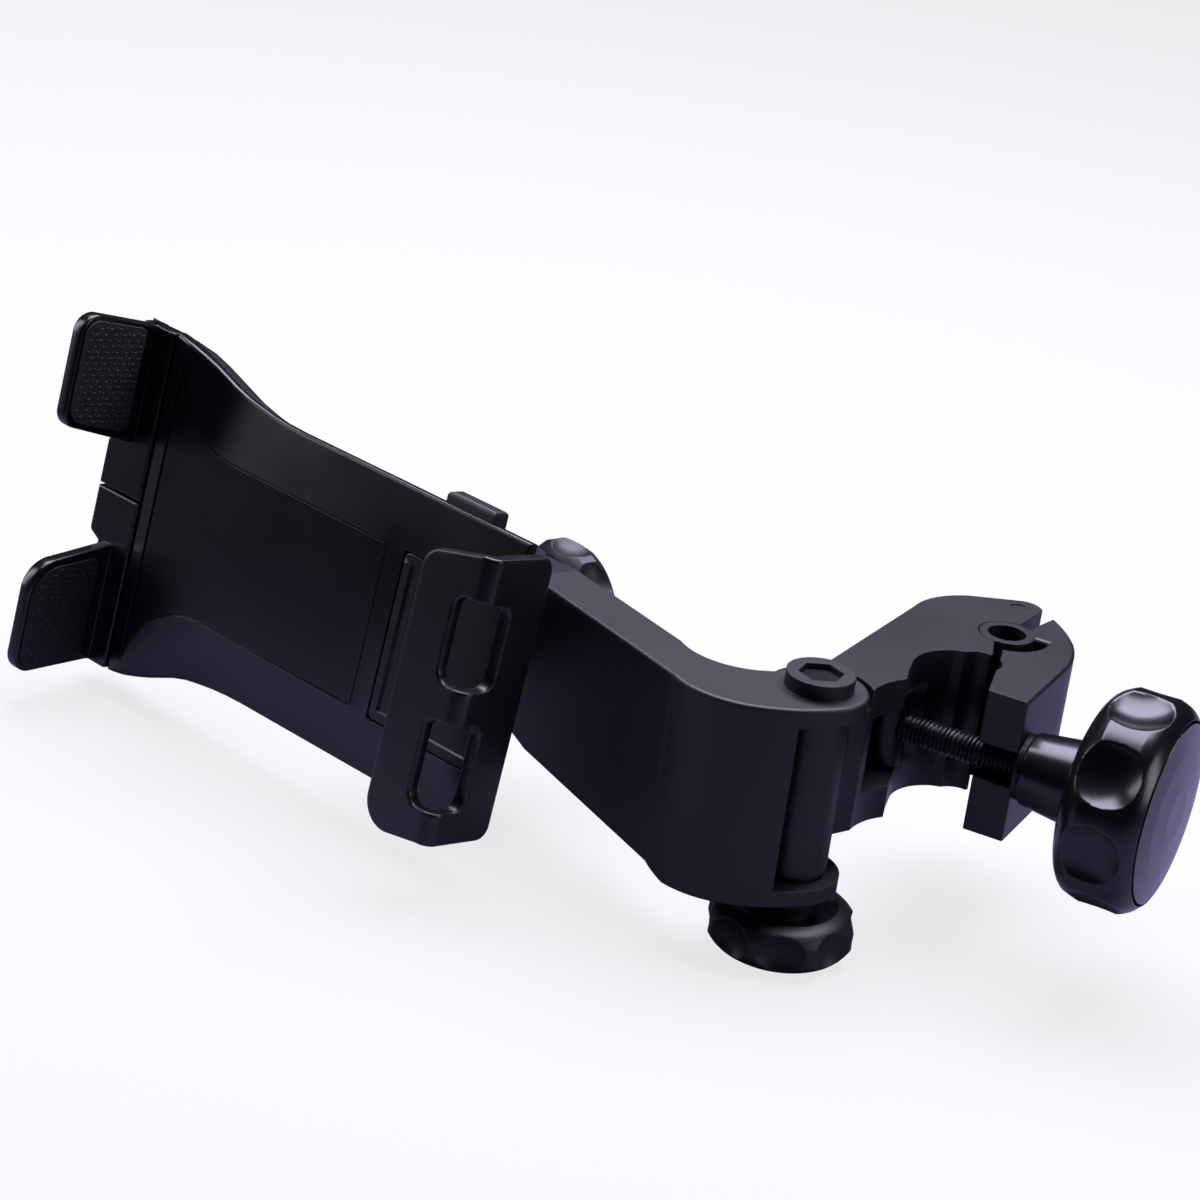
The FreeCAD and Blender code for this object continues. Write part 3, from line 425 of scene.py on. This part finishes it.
def depth_in(outline, spot):
    """How deep a point lies inside a closed outline: negative outside."""
    inside = False
    nearest = 1e9
    for a, b in zip(outline, outline[1:] + outline[:1]):
        if (a.y > spot.y) != (b.y > spot.y) and spot.x < a.x + (spot.y - a.y) * (b.x - a.x) / (b.y - a.y):
            inside = not inside
        run = b - a
        share = min(1.0, max(0.0, (spot - a).dot(run) / max(run.length_squared, 1e-9)))
        nearest = min(nearest, (spot - a - run * share).length)
    return nearest if inside else -nearest


def slab(outlines, creases, top, under, ease, place):
    """A closed plate between two surfaces: rounded rims on every outline and creases as edges of its faces."""
    shell = bmesh.new()
    arc = [math.pi / 2 * k / 4 for k in range(5)]
    rings = [(ease * (1 - math.sin(a)), ease * (1 - math.cos(a)), True) for a in arc]
    rings += [(ease * (1 - math.cos(a)), ease * (1 - math.sin(a)), False) for a in arc]
    land = ease * 1.7
    rings = [(land, 0.0, True)] + rings + [(land, 0.0, False)]

    def spot(flat, deep, from_top):
        above, below = top(flat), under(flat)
        start, other = (above, below) if from_top else (below, above)
        return shell.verts.new(place @ ((start + (other - start).normalized() * deep) / 1000))

    for outline in outlines:
        rows = [[spot(flat, deep, from_top) for flat in inset(outline, by)] for by, deep, from_top in rings]
        for row, below in zip(rows, rows[1:]):
            for k in range(len(outline)):
                shell.faces.new((row[k - 1], row[k], below[k], below[k - 1]))
    edges_in = [inset(outline, land) for outline in outlines]
    points = []
    edges = []
    for line, closed in [(edge, True) for edge in edges_in] + creases:
        base = len(points)
        points += line
        edges += [(base + k, base + k + 1) for k in range(len(line) - 1)]
        if closed:
            edges.append((base + len(line) - 1, base))
    flat_points, _, triangles = delaunay_2d_cdt(points, edges, [], 0, 1e-4)[:3]
    kept = []
    for triangle in triangles:
        middle = sum((flat_points[k] for k in triangle), Vector((0, 0))) / 3
        if depth_in(edges_in[0], middle) > 0 and not any(depth_in(hole, middle) > 0 for hole in edges_in[1:]):
            kept.append(triangle)
    used = sorted({k for triangle in kept for k in triangle})
    for from_top in (True, False):
        cap = {k: spot(flat_points[k], 0.0, from_top) for k in used}
        for triangle in kept:
            shell.faces.new([cap[k] for k in triangle])
    bmesh.ops.remove_doubles(shell, verts=shell.verts[:], dist=2e-6)
    bmesh.ops.recalc_face_normals(shell, faces=shell.faces[:])
    return shell


def finished(name, shells, sharp_deg, material):
    """One object from several closed shells."""
    mesh = bpy.data.meshes.new(name)
    whole = bmesh.new()
    for shell in shells:
        part = bpy.data.meshes.new(name + "_part")
        shell.to_mesh(part)
        shell.free()
        whole.from_mesh(part)
        bpy.data.meshes.remove(part)
    whole.to_mesh(mesh)
    whole.free()
    mesh.shade_smooth()
    mesh.set_sharp_from_angle(angle=math.radians(sharp_deg))
    mesh.materials.append(material)
    return placed(name, mesh)


def at_height(height):
    """A level surface for a slab, at a height in millimetres."""
    return lambda flat: Vector((flat.x, flat.y, height))


cover_start, cover_end, wide, slim, cover_under, cover_ease = -101.9, 41.5, 50.9, 39.9, -4.5, 0.9
waist = [(-99.0, 50.5), (-94.5, 49.7), (-90.0, 48.5), (-85.5, 47.1), (-81.0, 45.4), (-76.5, 43.7),
         (-71.0, 42.2), (-66.0, 41.4), (-60.0, 40.6), (-54.0, 40.1), (-48.0, slim)]
foot_half, foot_from = 24.0, 1.5
channel_deep, channel_wall, fall = -1.6, 0.15, 0.13
channel_ends = (-slim, -foot_half, channel_wall - foot_half, foot_half - channel_wall, foot_half, slim)
cover_outline = rounded([(cover_start, -wide, 0.0)] + [(x, -y, 0.0) for x, y in waist]
                        + [(cover_end, y, 0.0) for y in channel_ends]
                        + [(x, y, 0.0) for x, y in reversed(waist)] + [(cover_start, wide, 0.0)])
panel_half, panel_end, level_end, level_spacing = 23.5, -5.0, cover_end + 9.0, 4.0
panel_side = [(-96.5, 46.5), (-94.6, 40.8), (-92.2, 36.0), (-89.2, 31.9), (-85.0, 28.4), (-79.0, 25.4),
              (-74.5, 24.1), (-69.0, panel_half)]
near_side = [(x, -y, 0.0) for x, y in panel_side]
far_side = [(x, y, 0.0) for x, y in reversed(panel_side)]
panel = rounded(near_side + [(panel_end, -panel_half, 1.2), (panel_end, panel_half, 1.2)] + far_side)
level = rounded(near_side + [(level_end, -panel_half, 0.0), (level_end, panel_half, 0.0)] + far_side,
                level_spacing)
groove = [(0.0, 0.0), (0.06, -0.9), (0.56, -0.9), (0.62, -0.3)]


def cover_top(flat):
    """The cover's front: the jaw's channel, the grooved panel, or the margin that falls away from it."""
    if flat.x > foot_from + channel_wall - 1e-3 and abs(flat.y) < foot_half - channel_wall + 1e-3:
        return Vector((flat.x, flat.y, channel_deep))
    deep = depth_in(panel, flat)
    height = fall * min(0.0, depth_in(level, flat))
    for (d0, h0), (d1, h1) in zip(groove, groove[1:]):
        if d0 < deep <= d1:
            height = h0 + (h1 - h0) * (deep - d0) / (d1 - d0)
    if deep > groove[-1][0]:
        height = groove[-1][1]
    return Vector((flat.x, flat.y, height))


beyond = cover_end + 3.0
cover_creases = [(inset(panel, deep), True) for deep, _ in groove]
for gap in (0.0, channel_wall):
    near, half = foot_from + gap, foot_half - gap
    channel = [(beyond, half), (near, half), (near, -half), (beyond, -half)]
    cover_creases.append(([Vector(corner) for corner in channel], False))
cover_shell = slab([cover_outline], cover_creases, cover_top, at_height(cover_under), cover_ease, cradle_place)
cover = finished("cradle_cover", [cover_shell], 9.0, gloss)
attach(cover, "cradle")
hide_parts("front_cover")

# Claws: gloss black ABS uprights at the cradle's fixed end, each on a foot beside the cover.
# Each carries a rubber pad on its inner face.
claw_face, claw_tip, claw_thick, claw_ease = -109.5, 27.2, 4.2, 0.8
foot_near, foot_edge, foot_far, foot_ease = -102.3, -116.0, -120.2, 0.5
upright = Matrix(((0, 0, 1, 0), (1, 0, 0, 0), (0, 1, 0, 0), (0, 0, 0, 1)))
claw_plane = cradle_place @ Matrix.Translation((claw_face / 1000, 0, 0)) @ upright
for name, way, ease in (("upper_claw", 1, 5.0), ("lower_claw", -1, 9.5)):
    wing = [(15.5, cover_under, 0.0), (15.5, 0.5, 1.5), (20.9, claw_tip, ease), (53.8, claw_tip, 5.5),
            (50.6, 1.0, 2.0), (50.6, cover_under, 0.0)]
    wing = [(x * way, y, r) for x, y, r in wing]
    wing_outline = rounded(wing[::-1] if way > 0 else wing)
    wing_shell = slab([wing_outline], [], at_height(0.0), at_height(-claw_thick), claw_ease, claw_plane)
    foot = [(foot_near, 0.4, 0.0), (foot_near, 50.6, 0.8), (foot_edge, 50.6, 1.5), (foot_edge, 16.0, 0.0),
            (foot_far, 14.0, 1.5), (foot_far, 0.4, 0.0)]
    foot = [(x, y * way, r) for x, y, r in foot]
    base_outline = rounded(foot if way > 0 else foot[::-1])
    base_shell = slab([base_outline], [], at_height(0.0), at_height(cover_under), foot_ease, cradle_place)
    claw = finished(name.replace("_", "_end_"), [wing_shell, base_shell], 30.0, gloss)
    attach(claw, "cradle")
    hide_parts(name)

# Claw pads: black rubber blocks set on the claws' faces, each with a thin flange around it
# and a raised woven grid of short bars.
rubber = moulded("black rubber", "#141416", "#1d1d20", rough=0.6, grain_mm=0.3, depth_mm=0.006, edge_mm=0.2)
weave_pitch, weave_margin, bar_long, bar_wide, bar_high = 1.7, 1.2, 1.5, 0.62, 0.34


def weave(name, outline, face, material):
    """A woven grid of short bars, turned alternately, on the part of a pad's face inside an outline."""
    reach, bar_sides, bar_rings = 40, 10, 6
    spots = []
    turns = []
    for i in range(-reach, reach + 1):
        for j in range(-reach, reach + 1):
            flat = Vector((i * weave_pitch, j * weave_pitch))
            if depth_in(outline, flat) > weave_margin:
                spots.append((flat.x / 1000, flat.y / 1000, 0.0))
                turns.append((i + j) % 2 * math.pi / 2)
    base = bpy.data.meshes.new(name)
    base.from_pydata(spots, [], [])
    base.attributes.new("turn", "FLOAT", "POINT").data.foreach_set("value", turns)
    piece = placed(name, base)
    group, sockets, enter = node_group(name, (("Geometry", "NodeSocketGeometry"),
                                              ("Bar size", "NodeSocketVector"),
                                              ("Rubber", "NodeSocketMaterial")))
    ball = add(group, "GeometryNodeMeshUVSphere", in_Segments=bar_sides, in_Rings=bar_rings, in_Radius=0.5)
    bar = add(group, "GeometryNodeTransform", [(ball.outputs["Mesh"], "Geometry"),
              (enter.outputs["Bar size"], "Scale")])
    turn = add(group, "GeometryNodeInputNamedAttribute", data_type="FLOAT", in_Name="turn")
    angle = add(group, "ShaderNodeCombineXYZ", [(turn.outputs["Attribute"], "Z")])
    rows = add(group, "GeometryNodeInstanceOnPoints", [(enter.outputs["Geometry"], "Points"),
               (bar.outputs[0], "Instance"), (angle.outputs[0], "Rotation")])
    bar_size = (bar_long / 1000, bar_wide / 1000, 2 * bar_high / 1000)
    grown(piece, group, sockets, rows.outputs[0], enter.outputs["Rubber"],
          {"Bar size": bar_size, "Rubber": material})
    piece.data.transform(face)
    piece.data.shade_smooth()
    return piece


pad_face = claw_face + 0.5
pad_plane = cradle_place @ Matrix.Translation((pad_face / 1000, 0, 0)) @ upright
pad_rim = claw_tip - 2.4
flange, flange_thick, flange_ease, proud = 1.2, 0.45, 0.2, 0.02
pad_low = 5.0
for name, way, ease in (("upper_pad", 1, 4.5), ("lower_pad", -1, 8.5)):
    dress(name, rubber)
    edge = [(20.2, pad_low, 0.8), (23.2, pad_rim, 1.1 * ease), (50.8, pad_rim, 3.6), (48.6, pad_low, 0.8)]
    edge = [(x * way, y, r) for x, y, r in edge]
    pad_edge = inset(rounded(edge[::-1] if way > 0 else edge), -flange)
    pad_under = at_height(proud - flange_thick)
    sheet_shell = slab([pad_edge], [], at_height(proud), pad_under, flange_ease, pad_plane)
    sheet = finished(name + "_face", [sheet_shell], 30.0, rubber)
    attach(sheet, "cradle")
    grid = weave(name + "_weave", pad_edge, pad_plane, rubber)
    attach(grid, "cradle")

# Jaw slider: satin black moulding. A lip hooks over the tablet's edge, the wall behind it has two rounded slots
# round the bend, the framed foot runs in the cover's channel and the tongue runs inside the cradle.
satin = moulded("satin black ABS", "#0a0a0d", "#101014", rough=0.33, grain_mm=0.5, depth_mm=0.002, edge_mm=0.3)
lip_free, wall_out, lip_front, bend_r, wall_low = 22.6, 46.6, 16.0, 4.0, -7.3
lip_thick, wall_thick, jaw_half = 3.5, 4.0, 41.0
lip_run = wall_out - bend_r - lip_free
bend_run = bend_r * math.pi / 2
wall_run = lip_front - bend_r - wall_low
jaw_run = lip_run + bend_run + wall_run


def jaw_side(flat, thick):
    """A point of the jaw from its place along the bent section and its height, at a depth in the wall."""
    along = flat.x
    turned = min(max((along - lip_run) / bend_run, 0.0), 1.0) * math.pi / 2
    centre = Vector((wall_out - bend_r, lip_front - bend_r))
    if along < lip_run:
        outer = Vector((lip_free + along, lip_front))
    else:
        outer = centre + Vector((math.sin(turned), math.cos(turned))) * bend_r
        outer.y -= max(0.0, along - lip_run - bend_run)
    deep = thick * (lip_thick + (wall_thick - lip_thick) * turned / (math.pi / 2))
    spot = outer - Vector((math.sin(turned), math.cos(turned))) * deep
    return Vector((spot.x, flat.y, spot.y))


jaw_top, lip_slant, jaw_spacing, jaw_ease = 37.8, 4.6, 1.0, 0.8
jaw_outline = rounded([(0.0, -jaw_half - 0.7 * lip_slant, 8.0), (lip_run, -jaw_half, 0.0),
                       (jaw_run, -jaw_half, 4.0), (jaw_run, jaw_top, 4.0), (lip_run + bend_run, jaw_top, 0.0),
                       (lip_run, jaw_top, 0.0), (0.0, jaw_top - lip_slant, 6.5)], jaw_spacing)
slot_from, slot_to, slot_half, slot_r = 14.0, 33.0, 11.8, 3.6
jaw_slots = []
for middle in (13.6, -20.0):
    near, far = middle - slot_half, middle + slot_half
    jaw_slots.append(rounded([(slot_from, near, slot_r), (slot_from, far, slot_r), (slot_to, far, slot_r),
                              (slot_to, near, slot_r)], jaw_spacing))
bend_steps = 8
bends = [lip_run + bend_run * k / bend_steps for k in range(bend_steps + 1)]


def crossed(outline):
    """The outline with a point wherever it crosses a bend line."""
    full = []
    for here, ahead in zip(outline, outline[1:] + outline[:1]):
        cuts = [(b - here.x) / (ahead.x - here.x) for b in bends if (here.x - b) * (ahead.x - b) < -1e-9]
        full += [here] + [here.lerp(ahead, share) for share in sorted(cuts)]
    return full


jaw_creases = [([Vector((b, -60.0)), Vector((b, 60.0))], False) for b in bends]
jaw_shell = slab([crossed(jaw_outline)] + [crossed(slot) for slot in jaw_slots], jaw_creases,
                 lambda flat: jaw_side(flat, 0.0), lambda flat: jaw_side(flat, 1.0), jaw_ease, cradle_place)
foot_start, foot_end, foot_wide = 1.9, 43.1, 23.6
foot_outline = rounded([(foot_start, -foot_wide, 2.0), (foot_end, -foot_wide, 0.0), (foot_end, foot_wide, 0.0),
                        (foot_start, foot_wide, 2.0)])
frame_steps = (2.6, 3.0)
frame_height, floor_height, foot_under = -0.2, -0.8, -1.3


def foot_top(flat):
    """The foot's front: a raised frame around a lower floor."""
    deep = depth_in(foot_outline, flat)
    return Vector((flat.x, flat.y, frame_height if deep < frame_steps[1] - 0.01 else floor_height))


frame_creases = [(inset(foot_outline, step), True) for step in frame_steps]
foot_shell = slab([foot_outline], frame_creases, foot_top, at_height(foot_under), 0.25, cradle_place)
tongue_start, tongue_half, tongue_top, tongue_under = -62.0, 22.0, -4.9, -7.0
tongue_outline = rounded([(tongue_start, -tongue_half, 2.0), (foot_end, -tongue_half, 0.0),
                          (foot_end, tongue_half, 0.0), (tongue_start, tongue_half, 2.0)], 4.0)
tongue_shell = slab([tongue_outline], [], at_height(tongue_top), at_height(tongue_under), 0.3, cradle_place)
jaw = finished("moving_jaw", [jaw_shell, foot_shell, tongue_shell], 25.0, satin)
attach(jaw, "slider")
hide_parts("jaw_slider")

# Release button: a black nylon key in the cradle's upper edge.
# Pressing it frees the moving jaw.
dress("release_button", nylon, edge_mm=0.5)

# Floor and backdrop: a pale sheet of paper, evenly lit. What the part itself sees of it is painted darker,
# with painted shade towards the paper's far end, as under a softbox that leaves that end dark.
floor_half = 4
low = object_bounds()[0].z
floor_mesh = bpy.data.meshes.new("floor")
floor_corners = [(-floor_half, -floor_half, low), (floor_half, -floor_half, low), (floor_half, floor_half, low),
                 (-floor_half, floor_half, low)]
floor_mesh.from_pydata(floor_corners, [], [(0, 1, 2, 3)])
floor = placed("floor", floor_mesh)
paper = bpy.data.materials.new("pale paper")
paper.use_nodes = True
tree = paper.node_tree
tree.nodes.clear()
lit = add(tree, "ShaderNodeBsdfDiffuse", in_Color=linear("#f6f6ec"))
even = add(tree, "ShaderNodeEmission", in_Color=linear("#fcfbfd"), in_Strength=0.9)
paper_look = add(tree, "ShaderNodeMixShader", [(lit.outputs[0], 1), (even.outputs[0], 2)], in_Fac=0.88)
where = add(tree, "ShaderNodeTexCoord")
away = add(tree, "ShaderNodeVectorMath", [(where.outputs["Object"], 0)], operation="LENGTH")
fade = add(tree, "ShaderNodeMapRange", [(away.outputs["Value"], "Value")], in_From_Min=0.26, in_From_Max=0.5)
# Painted shade: the paper as the part sees it, light near the middle and dark towards its far end.
dim = add(tree, "ShaderNodeBsdfDiffuse", [(mixed(tree, fade.outputs["Result"], "#85819a", "#3b3844"), "Color")])
seen = add(tree, "ShaderNodeLightPath")
blend = add(tree, "ShaderNodeMixShader", [(seen.outputs["Is Camera Ray"], "Fac"), (dim.outputs[0], 1),
                                          (paper_look.outputs[0], 2)])
add(tree, "ShaderNodeOutputMaterial", [(blend.outputs[0], "Surface")])
floor_mesh.materials.append(paper)

world = bpy.data.worlds.new("studio")
bpy.context.scene.world = world
world.use_nodes = True
tree = world.node_tree
tree.nodes.clear()
path = add(tree, "ShaderNodeLightPath")
shown = add(tree, "ShaderNodeBackground", in_Color=linear("#fcfcfd"), in_Strength=1.0)
glow = add(tree, "ShaderNodeBackground", in_Color=linear("#d9d6ee"), in_Strength=0.03)
pick = add(tree, "ShaderNodeMixShader", [(path.outputs["Is Camera Ray"], "Fac"), (glow.outputs[0], 1),
                                         (shown.outputs[0], 2)])
add(tree, "ShaderNodeOutputWorld", [(pick.outputs[0], "Surface")])


# Lights: a large softbox above and a little behind, and two weak strips at the sides.
def lamp(name, place, aim, size, power, tint):
    """A rectangular area light at a place, turned to its aim."""
    light = bpy.data.lights.new(name, "AREA")
    light.shape = "RECTANGLE"
    light.size, light.size_y = size
    light.energy = power
    light.color = linear(tint)[:3]
    holder = placed(name, light)
    holder.location = place
    holder.rotation_euler = (Vector(aim) - Vector(place)).to_track_quat("-Z", "Y").to_euler()


lamp("overhead", (-0.05, 0.35, 1.0), (-0.08, 0.0, 0.0), (1.2, 0.8), 36.0, "#e8e3ff")
lamp("left strip", (-1.1, 0.2, 0.35), (-0.1, 0.0, 0.0), (0.3, 0.8), 4.0, "#f6f4ff")
lamp("right strip", (0.8, -0.35, 0.3), (0.0, 0.0, 0.0), (0.3, 0.5), 2.0, "#f6f4ff")

# Camera: placed where the photograph was taken from, with the photograph's slight roll.
lens = bpy.data.cameras.new("camera")
lens.sensor_width = 36.0
lens.lens = 97.02
camera = placed("camera", lens)
bpy.context.scene.camera = camera
drop, roll = 0.39916, -0.13406
ahead = Vector((0, math.cos(drop), -math.sin(drop)))
side = Vector((1, 0, 0))
above = side.cross(ahead)
across = side * math.cos(roll) - above * math.sin(roll)
upward = side * math.sin(roll) + above * math.cos(roll)
camera_axes = Matrix((across, upward, -ahead)).transposed()
camera.matrix_world = Matrix.Translation((-0.1008, -0.7805, 0.352)) @ camera_axes.to_4x4()
bpy.context.scene.view_settings.view_transform = "Standard"
